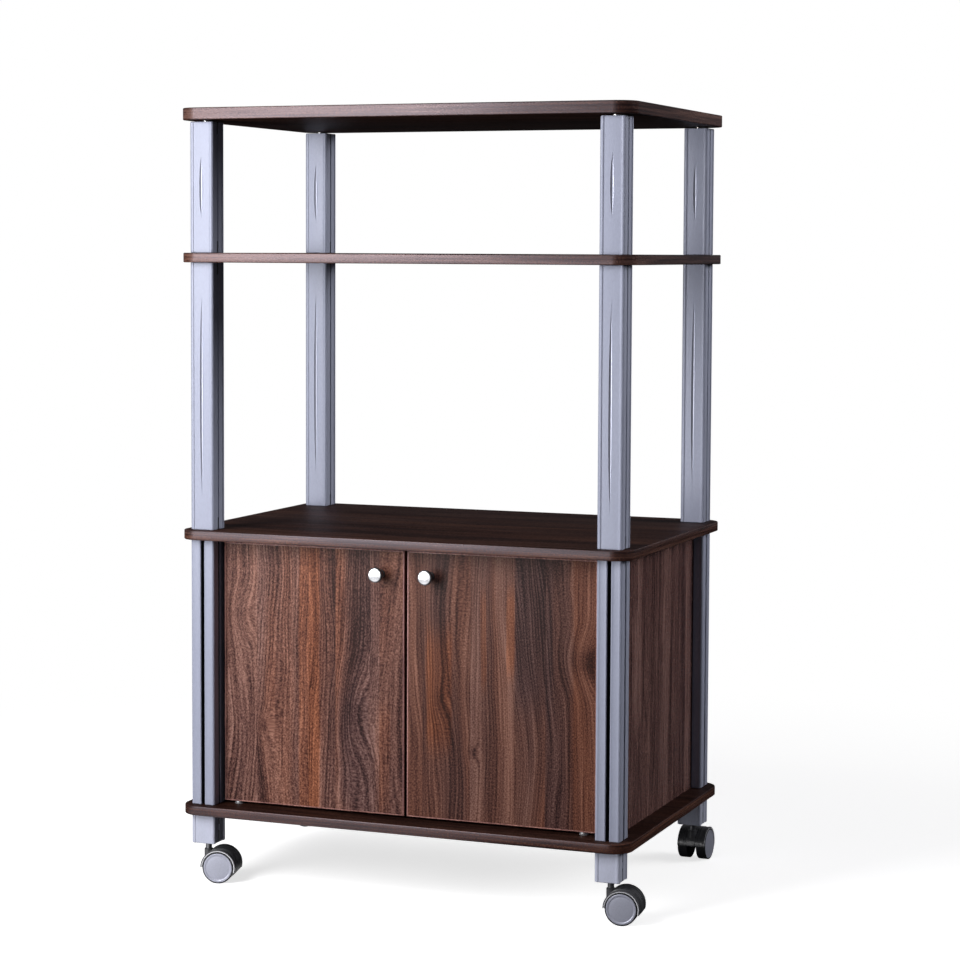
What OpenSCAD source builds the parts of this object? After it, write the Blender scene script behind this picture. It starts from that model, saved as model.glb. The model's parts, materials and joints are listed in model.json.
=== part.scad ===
// Microwave cart on casters: four boards on square posts, with a two-door cabinet below.
// The origin is on the floor under the middle of the boards. The front faces -Y and +Z is up.
// Lengths are in millimetres.

/* [Boards] */
// Width of every board, left to right
board_w = 597; // [560:1:660]
// Depth of every board, front to back
board_d = 394; // [360:1:440]
// Corner radius of the boards, seen from above
board_corner_r = 25; // [10:1:40]
// Thickness of the top board
top_t = 15; // [15:1:22]
// Thickness of the other three boards
shelf_t = 12; // [12:1:18]

/* [Heights] */
// Clear height between the middle shelf and the top board
upper_bay_h = 165; // [140:1:240]
// Clear height of the microwave bay
middle_bay_h = 336; // [260:1:400]
// Clear height inside the cabinet
cabinet_bay_h = 338; // [260:1:400]
// Length of the legs under the bottom board
leg_h = 38; // [34:1:80]
// Height of a caster from the floor to the end of its leg
caster_h = 50; // [50:1:60]

/* [Posts] */
// Outside width of the square posts and legs
post_s = 32; // [30:1:36]
// Wall of the tube posts and legs
post_wall = 1.6; // [1.2:0.1:2.2]
// Outside corner radius of the posts
post_r = 3; // [2:0.5:4]
// How far the posts stand in from the edges of the boards
post_inset = 12.5; // [8:0.5:20]
// Width of the pressed groove on the front of a post
groove_w = 6; // [4:0.5:8]
// Depth of the pressed groove
groove_depth = 0.8; // [0.4:0.1:1]
// Distance from the end of a post to the end of its pressed groove
groove_end = 44; // [30:1:60]
// Width of the fine lines down the faces of the tube posts
line_w = 1.2; // [0.8:0.1:2]
// Depth of the fine lines
line_depth = 0.5; // [0.2:0.1:0.8]
// Distance from the edge of a post face to the middle of a fine line
line_inset = 5; // [4.5:0.5:7]

/* [Cabinet posts] */
// Depth of the slot down each face
slot_depth = 9; // [8:0.5:10]
// Radius of the slot's rounded lips
slot_lip_r = 1.5; // [0.5:0.1:2]
// Side of the square chamber in each quarter
chamber_s = 8; // [4:0.5:8.5]

/* [Panels] */
// Thickness of the side panels and the back panel
panel_t = 4; // [3:0.1:5]
// Clearance on each side of a panel in its slot
panel_gap = 0.2; // [0.1:0.05:0.3]
// How far a panel ends short of the bottom of its slot
panel_short = 2; // [0.5:0.5:3]

/* [Joinery] */
// Diameter of the studs that join the posts through the boards
stud_d = 6; // [5:0.5:7]
// How far a stud reaches into each post
stud_reach = 18; // [14:1:24]
// How far a stud reaches into the top board
stud_top_reach = 9; // [7:1:11]
// Depth of the plugs in the ends of the tube posts and legs
plug_h = 15; // [12:1:16]
// Diameter of the discs between the upper posts and the top board
spacer_d = 12; // [10:1:16]
// Thickness of those discs
spacer_t = 2; // [1.5:0.1:3]

/* [Doors] */
// Thickness of the doors
door_t = 15; // [12:0.5:16]
// How far the door fronts lie behind the fronts of the posts
door_recess = 20; // [18:0.5:26]
// Gap between a door and the post beside it
door_side_gap = 4.5; // [4:0.5:6]
// Gap between the two doors
door_mid_gap = 3; // [2:0.5:5]
// Gap above and below a door
door_end_gap = 3.5; // [3.5:0.5:5]
// Distance from the outer edge of a door to its pivot
pivot_in = 18; // [16:0.5:20]
// Diameter of the pivot pins
pivot_d = 5; // [4:0.5:5]
// How far a pivot pin reaches into the door
pivot_door_reach = 14; // [10:1:20]
// How far a pivot pin reaches into the board
pivot_board_reach = 7; // [5:1:8]
// Outside diameter of the pivot bushes
bush_d = 8; // [7.5:0.5:9]
// Diameter of the bush flanges and the pin collars
bush_flange_d = 12; // [11:0.5:12]
// Thickness of the bush flanges
bush_flange_t = 1.2; // [0.8:0.1:1.5]
// Length of a bush in its board
bush_h = 8; // [6:1:9]

/* [Knobs] */
// Diameter of the knob's face
knob_d = 19; // [16:0.5:24]
// Diameter of the knob's base
knob_base_d = 14; // [12:0.5:16]
// Diameter of the knob's neck
knob_neck_d = 9; // [8:0.5:11]
// Thickness of the knob's base
knob_base_t = 3; // [2:0.5:4]
// Thickness of the knob's head
knob_head_t = 7; // [6:0.5:9]
// Radius of the rounded rim of the knob's face
knob_rim_r = 2.5; // [1.5:0.1:3]
// How far a knob stands out of the door
knob_h = 21; // [18:1:28]
// Distance from the cabinet's centre line to the middle of a knob
knob_x = 33; // [25:1:60]
// Distance from the top of the door to the middle of a knob
knob_down = 30; // [20:1:120]
// Diameter of the knob screws
knob_screw_d = 4; // [3:0.5:4]
// Length of a knob screw under its head
knob_screw_l = 24; // [20:1:28]
// Diameter of a knob screw's head
knob_screw_head_d = 8; // [7:0.5:10]
// Height of a knob screw's head
knob_screw_head_h = 2.2; // [1.5:0.1:3]

/* [Catches] */
// Width of a magnetic catch
catch_w = 42; // [30:1:50]
// Depth of a magnetic catch, front to back
catch_d = 14; // [10:1:20]
// Height of a magnetic catch
catch_h = 13; // [10:1:18]
// Distance from the centre line to the middle of a catch
catch_x = 75; // [60:1:120]
// Width of a strike plate on a door
strike_w = 34; // [24:1:40]
// Height of a strike plate
strike_h = 9; // [8:1:14]
// Thickness of a strike plate
strike_t = 1; // [0.8:0.1:1.5]

/* [Casters] */
// Diameter of the wheels
wheel_d = 40; // [38:1:42]
// Width of one wheel
wheel_w = 13; // [11:0.5:13]
// Radius of a wheel's rounded edges
wheel_edge_r = 2; // [1:0.5:3]
// Width of the body between a caster's two wheels
body_w = 11; // [10.5:0.5:12]
// Gap between the body and each wheel
wheel_side_gap = 0.6; // [0.4:0.1:1]
// Distance from the swivel axis to the axle
trail = 16.5; // [16:0.5:18]
// Gap between the hood and the wheels
hood_gap = 1.2; // [1:0.1:2]
// Thickness of the hood
hood_t = 1.6; // [1.4:0.1:2.2]
// Width of the hood, along the axle
hood_w = 37; // [30:0.5:37]
// Diameter of the axles
axle_d = 5; // [4:0.5:6]
// Diameter of the boss round the axle
axle_boss_d = 13; // [11:0.5:14]
// Diameter of the discs on the wheels' outer faces
cap_d = 35; // [30:0.5:36]
// Thickness of those discs
cap_t = 1.6; // [1.2:0.1:2.5]
// Diameter of the stem in the leg
stem_d = 8; // [7:0.5:9]
// How far the stem reaches into the leg
stem_reach = 13; // [10:1:14]
// Diameter of the stem's pivot in the caster
stem_pin_d = 6; // [5:0.5:6.5]
// How far the stem's pivot reaches into the caster
stem_pin_h = 15; // [12:1:16]
// Height of the top of the caster's stem boss over the floor
boss_top = 41; // [39:0.5:42]
// Which way the front casters trail: turn from +X towards +Y, left one
caster_turn_front_left = 12; // [-180:1:180]
// The same for the front right caster
caster_turn_front_right = 6; // [-180:1:180]
// The same for the back left caster
caster_turn_back_left = 174; // [-180:1:180]
// The same for the back right caster
caster_turn_back_right = 88; // [-180:1:180]

/* [Hidden] */
// Radial clearance of a running fit
run_gap = 0.05;
// Clearance between flat faces of pieces that move past each other
slide_gap = 0.3;
// Clearance round a piece pressed or slid into another
seat_gap = 0.1;
// Extra length of a cutter past the face it cuts
cut = 1;

// Heights of the boards, from the floor up
bottom_z = caster_h + leg_h;
cabinet_floor_z = bottom_z + shelf_t;
cabinet_top_z = cabinet_floor_z + cabinet_bay_h;
middle_floor_z = cabinet_top_z + shelf_t;
middle_shelf_z = middle_floor_z + middle_bay_h;
upper_floor_z = middle_shelf_z + shelf_t;
top_z = upper_floor_z + upper_bay_h;

// Post centres
post_x = board_w / 2 - post_inset - post_s / 2;
post_y = board_d / 2 - post_inset - post_s / 2;
post_front_y = -post_y - post_s / 2;
tube_inner_s = post_s - 2 * post_wall;
tube_inner_r = max(post_r - post_wall, 0.4);
upper_post_h = upper_bay_h - spacer_t;
slot_w = panel_t + 2 * panel_gap;
panel_grip = slot_depth - panel_short;

// Doors
door_front_y = post_front_y + door_recess;
door_mid_y = door_front_y + door_t / 2;
door_back_y = door_front_y + door_t;
door_outer_x = post_x - post_s / 2 - door_side_gap;
door_inner_x = door_mid_gap / 2;
door_w = door_outer_x - door_inner_x;
door_bottom_z = cabinet_floor_z + door_end_gap;
door_top_z = cabinet_top_z - door_end_gap;
door_h = door_top_z - door_bottom_z;
pivot_x = door_outer_x - pivot_in;
collar_t = door_end_gap - bush_flange_t - slide_gap;
knob_z = door_top_z - knob_down;
knob_bore_h = knob_screw_l - door_t;
catch_y = door_back_y + strike_t + slide_gap;

// Casters
wheel_r = wheel_d / 2;
wheel_in_y = body_w / 2 + wheel_side_gap;
wheel_out_y = wheel_in_y + wheel_w;
hood_in_r = wheel_r + hood_gap;
hood_r = hood_in_r + hood_t;
axle_half = wheel_out_y - cap_t - slide_gap;
stem_shoulder_z = boss_top + slide_gap;
stem_pin_end_z = stem_shoulder_z - stem_pin_h;

// Each corner: name, side in X, side in Y, turn of its caster
CORNERS = [
    ["front_left", -1, -1, caster_turn_front_left],
    ["front_right", 1, -1, caster_turn_front_right],
    ["back_left", -1, 1, caster_turn_back_left],
    ["back_right", 1, 1, caster_turn_back_right]
];
// Each side: name and direction in X
SIDES = [["left", -1], ["right", 1]];
// Each wheel of a caster: name and direction along the axle
WHEELS = [["inner", 1], ["outer", -1]];

BOARD_NAMES = ["top_board", "middle_shelf", "cabinet_top_board", "bottom_board"];
CORNER_PARTS = ["upper_post", "middle_post", "cabinet_post", "leg", "caster_housing"];
SIDE_PARTS = ["side_panel", "door", "knob", "knob_screw", "pivot_pins", "strike_plate"];
WHEEL_PARTS = ["wheel", "wheel_cap"];
GROUPS = ["back_panel", "post_end_plugs", "leg_plugs", "connecting_studs", "top_spacers",
          "pivot_bushes", "door_catches", "caster_stems"];
$fn = 64;

// Colours
walnut = [0.27, 0.16, 0.12];
post_grey = [0.70, 0.72, 0.77];
silver = [0.85, 0.85, 0.86];
steel = [0.62, 0.63, 0.65];
plastic_grey = [0.60, 0.61, 0.65];
plastic_dark = [0.13, 0.13, 0.15];
plastic_white = [0.90, 0.90, 0.88];

// ---- Shared shapes ----

// A flat rectangle with round corners, centred
module rounded_plate(w, d, r) {
    square([w - 2 * r, d], center = true);
    square([w, d - 2 * r], center = true);
    for (x = [-1, 1], y = [-1, 1])
        translate([x * (w / 2 - r), y * (d / 2 - r)]) circle(r);
}

// Places its children at the four posts
module at_posts() {
    for (c = CORNERS) translate([c[1] * post_x, c[2] * post_y, 0]) children();
}

// A square plug with a bore, standing on z = 0
module plug(bore_d) {
    difference() {
        linear_extrude(plug_h)
            rounded_plate(tube_inner_s - 2 * seat_gap, tube_inner_s - 2 * seat_gap, tube_inner_r);
        translate([0, 0, -cut]) cylinder(h = plug_h + 2 * cut, d = bore_d);
    }
}

// ---- Boards ----

// A board from z up, with stud holes to hole_h above its underside
module board(z, t, hole_h) {
    color(walnut) difference() {
        translate([0, 0, z]) linear_extrude(t) rounded_plate(board_w, board_d, board_corner_r);
        at_posts() translate([0, 0, z - cut])
            cylinder(h = hole_h + cut, d = stud_d + 2 * seat_gap);
        children();
    }
}

// Sockets for the pivot bushes, from z up
module bush_sockets(z) {
    for (s = SIDES) translate([s[1] * pivot_x, door_mid_y, z])
        cylinder(h = bush_h + seat_gap + cut, d = bush_d + 2 * seat_gap);
}

module top_board() {
    board(top_z, top_t, stud_top_reach + seat_gap);
}

module middle_shelf() {
    board(middle_shelf_z, shelf_t, shelf_t + cut);
}

module cabinet_top_board() {
    board(cabinet_top_z, shelf_t, shelf_t + cut) bush_sockets(cabinet_top_z - cut);
}

module bottom_board() {
    board(bottom_z, shelf_t, shelf_t + cut) bush_sockets(cabinet_floor_z - bush_h - seat_gap);
}

// ---- Posts and legs ----

// Outline of the tube, with fine lines down its faces
module tube_outline() {
    difference() {
        rounded_plate(post_s, post_s, post_r);
        for (a = [0, 90, 180, 270], s = [-1, 1])
            rotate(a) translate([post_s / 2, s * (post_s / 2 - line_inset)])
                square([2 * line_depth, line_w], center = true);
    }
}

module tube(h) {
    linear_extrude(h) difference() {
        tube_outline();
        rounded_plate(tube_inner_s, tube_inner_s, tube_inner_r);
    }
}

// The lens-shaped groove: what two wide circles share, pressed into the -Y face
module lens_groove(h) {
    half_l = h / 2 - groove_end;
    r = (half_l * half_l + groove_w * groove_w / 4) / groove_w;
    translate([0, -post_s / 2 + groove_depth, h / 2]) rotate([90, 0, 0])
        linear_extrude(groove_depth + cut) intersection() {
            translate([r - groove_w / 2, 0]) circle(r, $fn = 720);
            translate([-r + groove_w / 2, 0]) circle(r, $fn = 720);
        }
}

// A tube post of height h, standing at z on a corner
module tube_post(c, z, h) {
    color(post_grey) translate([c[1] * post_x, c[2] * post_y, z]) difference() {
        tube(h);
        lens_groove(h);
    }
}

module upper_post(c) {
    tube_post(c, upper_floor_z, upper_post_h);
}

module middle_post(c) {
    tube_post(c, middle_floor_z, middle_bay_h);
}

module leg(c) {
    color(post_grey) translate([c[1] * post_x, c[2] * post_y, caster_h]) tube(leg_h);
}

// What rounds off one lip of a slot: a square corner less its circle
module lip_cutter() {
    difference() {
        translate([-cut, 0]) square([slot_lip_r + cut, slot_lip_r]);
        translate([slot_lip_r, slot_lip_r]) circle(slot_lip_r);
    }
}

// Its children, and their mirror image across the X axis
module both_halves() {
    children();
    mirror([0, 1]) children();
}

// Outline of a cabinet post: four slots, four chambers and the stud bore
module slotted_outline() {
    difference() {
        rounded_plate(post_s, post_s, post_r);
        circle(d = stud_d + 2 * seat_gap);
        for (a = [0, 90, 180, 270]) rotate(a) {
            translate([post_s / 2 - slot_depth, -slot_w / 2]) square([slot_depth + cut, slot_w]);
            both_halves() translate([post_s / 2, slot_w / 2]) mirror([1, 0]) lip_cutter();
            translate([slot_w / 2 + post_wall, slot_w / 2 + post_wall]) square(chamber_s);
        }
    }
}

module cabinet_post(c) {
    color(post_grey) translate([c[1] * post_x, c[2] * post_y, cabinet_floor_z])
        linear_extrude(cabinet_bay_h) slotted_outline();
}

module post_end_plugs() {
    color(plastic_dark) at_posts() {
        for (z = [upper_floor_z, upper_floor_z + upper_post_h - plug_h,
                  middle_floor_z, middle_shelf_z - plug_h])
            translate([0, 0, z]) plug(stud_d + 2 * seat_gap);
    }
}

module leg_plugs() {
    color(plastic_dark) at_posts() {
        translate([0, 0, caster_h]) plug(stem_d + 2 * seat_gap);
        translate([0, 0, bottom_z - plug_h]) plug(stud_d + 2 * seat_gap);
    }
}

// A stud from low to high
module stud(low, high) {
    translate([0, 0, low]) cylinder(h = high - low, d = stud_d);
}

module connecting_studs() {
    color(steel) at_posts() {
        stud(bottom_z - plug_h, cabinet_floor_z + stud_reach);
        stud(cabinet_top_z - stud_reach, middle_floor_z + stud_reach);
        stud(middle_shelf_z - stud_reach, upper_floor_z + stud_reach);
        stud(top_z - spacer_t - stud_reach, top_z + stud_top_reach);
    }
}

module top_spacers() {
    color(silver) at_posts() translate([0, 0, top_z - spacer_t]) difference() {
        cylinder(h = spacer_t, d = spacer_d);
        translate([0, 0, -cut]) cylinder(h = spacer_t + 2 * cut, d = stud_d + 2 * seat_gap);
    }
}

// ---- Panels ----

module side_panel(s) {
    depth = 2 * (post_y - post_s / 2 + panel_grip);
    color(walnut) translate([s[1] * post_x, 0, cabinet_floor_z + cabinet_bay_h / 2])
        cube([panel_t, depth, cabinet_bay_h], center = true);
}

module back_panel() {
    width = 2 * (post_x - post_s / 2 + panel_grip);
    color(walnut) translate([0, post_y, cabinet_floor_z + cabinet_bay_h / 2])
        cube([width, panel_t, cabinet_bay_h], center = true);
}

// ---- Doors ----

module door(s) {
    color(walnut) difference() {
        translate([s[1] > 0 ? door_inner_x : -door_outer_x, door_front_y, door_bottom_z])
            cube([door_w, door_t, door_h]);
        for (z = [door_bottom_z - cut, door_top_z - pivot_door_reach - seat_gap])
            translate([s[1] * pivot_x, door_mid_y, z])
                cylinder(h = pivot_door_reach + seat_gap + cut, d = pivot_d + 2 * seat_gap);
        translate([s[1] * knob_x, door_front_y - cut, knob_z]) rotate([-90, 0, 0])
            cylinder(h = door_t + 2 * cut, d = knob_screw_d + 2 * seat_gap);
    }
}

// Half outline of a knob, from the door outwards along its axis
module knob_outline() {
    head_r = knob_d / 2;
    difference() {
        union() {
            square([knob_base_d / 2, knob_base_t]);
            square([knob_neck_d / 2, knob_h - knob_rim_r]);
            translate([0, knob_h - knob_head_t]) square([head_r, knob_head_t - knob_rim_r]);
            translate([0, knob_h - knob_head_t]) square([head_r - knob_rim_r, knob_head_t]);
            translate([head_r - knob_rim_r, knob_h - knob_rim_r]) circle(knob_rim_r);
        }
        translate([0, -cut]) square([knob_screw_d / 2 + seat_gap, knob_bore_h + seat_gap + cut]);
    }
}

module knob(s) {
    color(silver) translate([s[1] * knob_x, door_front_y, knob_z]) rotate([90, 0, 0])
        rotate_extrude() knob_outline();
}

module knob_screw(s) {
    color(steel) translate([s[1] * knob_x, door_back_y, knob_z]) rotate([90, 0, 0]) {
        cylinder(h = knob_screw_l, d = knob_screw_d);
        translate([0, 0, -knob_screw_head_h])
            cylinder(h = knob_screw_head_h, d = knob_screw_head_d);
    }
}

// One pivot pin with its collar, pointing down out of the door's edge at z = 0
module pivot_pin() {
    length = pivot_door_reach + door_end_gap + pivot_board_reach;
    translate([0, 0, -door_end_gap - pivot_board_reach]) cylinder(h = length, d = pivot_d);
    translate([0, 0, -collar_t]) cylinder(h = collar_t, d = bush_flange_d);
}

module pivot_pins(s) {
    color(steel) translate([s[1] * pivot_x, door_mid_y, 0]) {
        translate([0, 0, door_bottom_z]) pivot_pin();
        translate([0, 0, door_top_z]) mirror([0, 0, 1]) pivot_pin();
    }
}

// One bush with its flange, hanging down into a board from z = 0
module pivot_bush() {
    difference() {
        union() {
            translate([0, 0, -bush_h]) cylinder(h = bush_h, d = bush_d);
            cylinder(h = bush_flange_t, d = bush_flange_d);
        }
        translate([0, 0, -bush_h - cut])
            cylinder(h = bush_h + bush_flange_t + 2 * cut, d = pivot_d + 2 * run_gap);
    }
}

module pivot_bushes() {
    color(plastic_white) for (s = SIDES) translate([s[1] * pivot_x, door_mid_y, 0]) {
        translate([0, 0, cabinet_floor_z]) pivot_bush();
        translate([0, 0, cabinet_top_z]) mirror([0, 0, 1]) pivot_bush();
    }
}

module door_catches() {
    color(plastic_white) for (s = SIDES)
        translate([s[1] * catch_x - catch_w / 2, catch_y, cabinet_top_z - catch_h])
            cube([catch_w, catch_d, catch_h]);
}

module strike_plate(s) {
    color(steel) translate([s[1] * catch_x - strike_w / 2, door_back_y, door_top_z - strike_h])
        cube([strike_w, strike_t, strike_h]);
}

// ---- Casters ----

// Places its children at a caster: origin on the floor under the stem, trailing towards +X
module at_caster(c) {
    translate([c[1] * post_x, c[2] * post_y, 0]) rotate([0, 0, c[3]]) children();
}

module caster_stems() {
    color(steel) for (c = CORNERS) at_caster(c) {
        translate([0, 0, stem_shoulder_z])
            cylinder(h = caster_h - stem_shoulder_z + stem_reach, d = stem_d);
        translate([0, 0, stem_pin_end_z]) cylinder(h = stem_pin_h, d = stem_pin_d);
    }
}

// A cylinder along the axle, centred on the caster's body
module on_axle(w, d) {
    translate([trail, 0, wheel_r]) rotate([90, 0, 0]) cylinder(h = w, d = d, center = true);
}

// The box over the axle's height, in which the hood lies
module above_axle() {
    translate([trail - 2 * hood_r, -hood_w, wheel_r]) cube([4 * hood_r, 2 * hood_w, 2 * hood_r]);
}

module caster_housing(c) {
    color(plastic_grey) at_caster(c) {
        difference() {
            union() {
                intersection() {
                    difference() {
                        on_axle(hood_w, 2 * hood_r);
                        on_axle(hood_w + cut, 2 * hood_in_r);
                    }
                    above_axle();
                }
                intersection() {
                    on_axle(body_w, 2 * hood_r);
                    above_axle();
                }
                on_axle(body_w, axle_boss_d);
                translate([0, 0, wheel_r]) cylinder(h = boss_top - wheel_r, d = body_w);
            }
            on_axle(body_w + 2 * cut, axle_d + 2 * seat_gap);
            translate([0, 0, stem_pin_end_z - slide_gap])
                cylinder(h = boss_top, d = stem_pin_d + 2 * run_gap);
        }
        on_axle(2 * axle_half, axle_d);
    }
}

// Half outline of a wheel along its axis, from its inner face outwards
module wheel_outline() {
    bore_r = axle_d / 2 + run_gap;
    r = wheel_edge_r;
    difference() {
        union() {
            translate([bore_r, 0]) square([wheel_r - r - bore_r, wheel_w]);
            translate([bore_r, r]) square([wheel_r - bore_r, wheel_w - 2 * r]);
            for (y = [r, wheel_w - r]) translate([wheel_r - r, y]) circle(r);
        }
        translate([0, wheel_w - cap_t]) square([cap_d / 2 + seat_gap, cap_t + cut]);
    }
}

module wheel(c, w) {
    color(plastic_grey) at_caster(c) translate([trail, 0, wheel_r])
        rotate([-90 * w[1], 0, 0]) translate([0, 0, wheel_in_y]) rotate_extrude() wheel_outline();
}

module wheel_cap(c, w) {
    color(silver) at_caster(c) translate([trail, 0, wheel_r])
        rotate([-90 * w[1], 0, 0]) translate([0, 0, wheel_out_y - cap_t])
            cylinder(h = cap_t, d = cap_d);
}

// ---- Assembly ----

top_board();
middle_shelf();
cabinet_top_board();
bottom_board();
back_panel();
post_end_plugs();
leg_plugs();
connecting_studs();
top_spacers();
pivot_bushes();
door_catches();
caster_stems();
for (c = CORNERS) {
    upper_post(c);
    middle_post(c);
    cabinet_post(c);
    leg(c);
    caster_housing(c);
    for (w = WHEELS) {
        wheel(c, w);
        wheel_cap(c, w);
    }
}
for (s = SIDES) {
    side_panel(s);
    door(s);
    knob(s);
    knob_screw(s);
    pivot_pins(s);
    strike_plate(s);
}
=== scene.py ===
import json
import math

import bmesh
import bpy
from mathutils import Matrix, Vector


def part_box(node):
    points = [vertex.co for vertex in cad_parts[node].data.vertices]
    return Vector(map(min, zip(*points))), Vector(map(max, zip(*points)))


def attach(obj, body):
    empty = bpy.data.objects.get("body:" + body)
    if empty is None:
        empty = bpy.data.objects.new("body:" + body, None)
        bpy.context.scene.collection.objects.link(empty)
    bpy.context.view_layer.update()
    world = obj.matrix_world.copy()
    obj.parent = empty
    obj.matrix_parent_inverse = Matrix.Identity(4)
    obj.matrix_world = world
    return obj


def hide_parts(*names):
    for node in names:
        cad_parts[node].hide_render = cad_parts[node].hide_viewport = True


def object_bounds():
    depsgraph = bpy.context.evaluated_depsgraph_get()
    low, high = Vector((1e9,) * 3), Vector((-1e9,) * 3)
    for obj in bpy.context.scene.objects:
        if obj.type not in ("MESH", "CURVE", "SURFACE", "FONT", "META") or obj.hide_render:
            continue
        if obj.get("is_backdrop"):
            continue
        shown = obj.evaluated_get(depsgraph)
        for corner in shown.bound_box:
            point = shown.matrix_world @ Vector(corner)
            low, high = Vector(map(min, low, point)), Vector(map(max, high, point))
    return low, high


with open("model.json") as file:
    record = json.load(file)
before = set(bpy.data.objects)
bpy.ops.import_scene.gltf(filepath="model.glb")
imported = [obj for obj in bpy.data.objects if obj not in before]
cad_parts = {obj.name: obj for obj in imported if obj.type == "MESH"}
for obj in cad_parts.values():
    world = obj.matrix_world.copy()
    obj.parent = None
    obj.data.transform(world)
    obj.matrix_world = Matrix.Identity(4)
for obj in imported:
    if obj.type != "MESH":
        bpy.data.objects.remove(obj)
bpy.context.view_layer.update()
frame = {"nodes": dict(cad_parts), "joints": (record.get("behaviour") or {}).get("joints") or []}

mm = 0.001
nodes = frame["nodes"]
sides = ("left", "right")
corners = ("front_left", "front_right", "back_left", "back_right")


# node graphs: a wire is one output socket, and sums on wires add Math nodes
class Wire:
    def __init__(self, graph, socket):
        self.graph, self.socket = graph, socket

    def other(self, name):
        return Wire(self.graph, self.socket.node.outputs[name])

    def maths(self, operation, *values):
        return self.graph.node("ShaderNodeMath", {"operation": operation}, dict(enumerate(values)))

    def __add__(self, value):
        return self.maths("ADD", self, value)

    def __radd__(self, value):
        return self.maths("ADD", value, self)

    def __sub__(self, value):
        return self.maths("SUBTRACT", self, value)

    def __rsub__(self, value):
        return self.maths("SUBTRACT", value, self)

    def __mul__(self, value):
        return self.maths("MULTIPLY", self, value)

    def __rmul__(self, value):
        return self.maths("MULTIPLY", value, self)

    def __truediv__(self, value):
        return self.maths("DIVIDE", self, value)

    def __rtruediv__(self, value):
        return self.maths("DIVIDE", value, self)

    def __pow__(self, value):
        return self.maths("POWER", self, value)

    def __neg__(self):
        return self.maths("MULTIPLY", self, -1.0)

    def size(self):
        return self.maths("ABSOLUTE", self)

    def wave(self):
        return self.maths("SINE", self)

    def whole(self):
        return self.maths("FLOOR", self)

    def atLeast(self, value):
        return self.maths("MAXIMUM", self, value)

    def atMost(self, value):
        return self.maths("MINIMUM", self, value)

    def above(self, value):
        return self.maths("GREATER_THAN", self, value)

    def below(self, value):
        return self.maths("LESS_THAN", self, value)

    def rise(self, low, high):  # 0 at low, 1 at high, smooth between
        return self.graph.node("ShaderNodeMapRange", {"interpolation_type": "SMOOTHSTEP"},
                               {"Value": self, "From Min": low, "From Max": high})


class Graph:
    def __init__(self, tree):
        self.tree = tree

    def node(self, kind, settings=None, sockets=None, out=0):
        made = self.tree.nodes.new(kind)
        for name, value in (settings or {}).items():
            if name == "stops":
                self.fillRamp(made.color_ramp, value)
            else:
                setattr(made, name, value)
        for key, value in (sockets or {}).items():
            if isinstance(value, Wire):
                self.tree.links.new(value.socket, made.inputs[key])
            else:
                made.inputs[key].default_value = value
        return Wire(self, made.outputs[out]) if len(made.outputs) else made

    def fillRamp(self, ramp, stops):
        while len(ramp.elements) < len(stops):
            ramp.elements.new(0.5)
        for element, (place, tint) in zip(ramp.elements, stops):
            element.position = place
            element.color = (*tint, 1.0)

    def mix(self, factor, a, b, blend="MIX"):
        tints = [c if isinstance(c, Wire) else (*c, 1.0) for c in (a, b)]
        return self.node("ShaderNodeMix", {"data_type": "RGBA", "blend_type": blend},
                         {0: factor, 6: tints[0], 7: tints[1]}, 2)

    def point(self, x, y, z):
        return self.node("ShaderNodeCombineXYZ", {}, {"X": x, "Y": y, "Z": z})

    def split(self, vector):
        x = self.node("ShaderNodeSeparateXYZ", {}, {0: vector})
        return x, x.other("Y"), x.other("Z")

    def noise(self, vector, scale, detail=2.0, roughness=0.5):
        return self.node("ShaderNodeTexNoise", {"noise_dimensions": "3D"},
                         {"Vector": vector, "Scale": scale, "Detail": detail, "Roughness": roughness})

    def objectPlace(self):
        return self.split(self.node("ShaderNodeTexCoord").other("Object"))


def newFinish(name, fixed):  # a material, its graph and its shader, with the uniform values set
    material = bpy.data.materials.new(name)
    material.use_nodes = True
    shader = material.node_tree.nodes["Principled BSDF"]
    for socket, value in fixed.items():
        shader.inputs[socket].default_value = value
    return material, Graph(material.node_tree), shader


def feed(graph, shader, socket, wire):
    graph.tree.links.new(wire.socket, shader.inputs[socket])


def roughen(graph, shader, height, strength, distance):
    bump = graph.node("ShaderNodeBump", {},
                      {"Strength": strength, "Distance": distance, "Height": height})
    feed(graph, shader, "Normal", bump)


# walnut laminate; tones run from the darkest streak to the lightest
walnutTones = (
    (0.0, (0.018, 0.0072, 0.0062)), (0.25, (0.052, 0.0215, 0.0178)), (0.5, (0.098, 0.0430, 0.0335)),
    (0.75, (0.150, 0.0710, 0.0530)), (1.0, (0.235, 0.1200, 0.0920)))
neutralTint = (1.0, 1.0, 1.0)
orangeTint = (1.34, 1.02, 0.72)
plumTint = (0.86, 0.99, 1.15)
# a look takes from here what it leaves out: no staves, knots or patches, and a satin film
plainLook = {"lean": 0.0, "hue": 0.4, "stave": 3.0, "shift": 0.0, "lot": 0.0, "knots": (),
             "patches": (), "gloss": (0.28, 0.42), "sheen": (1.0, 0.86, 0.95)}
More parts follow.
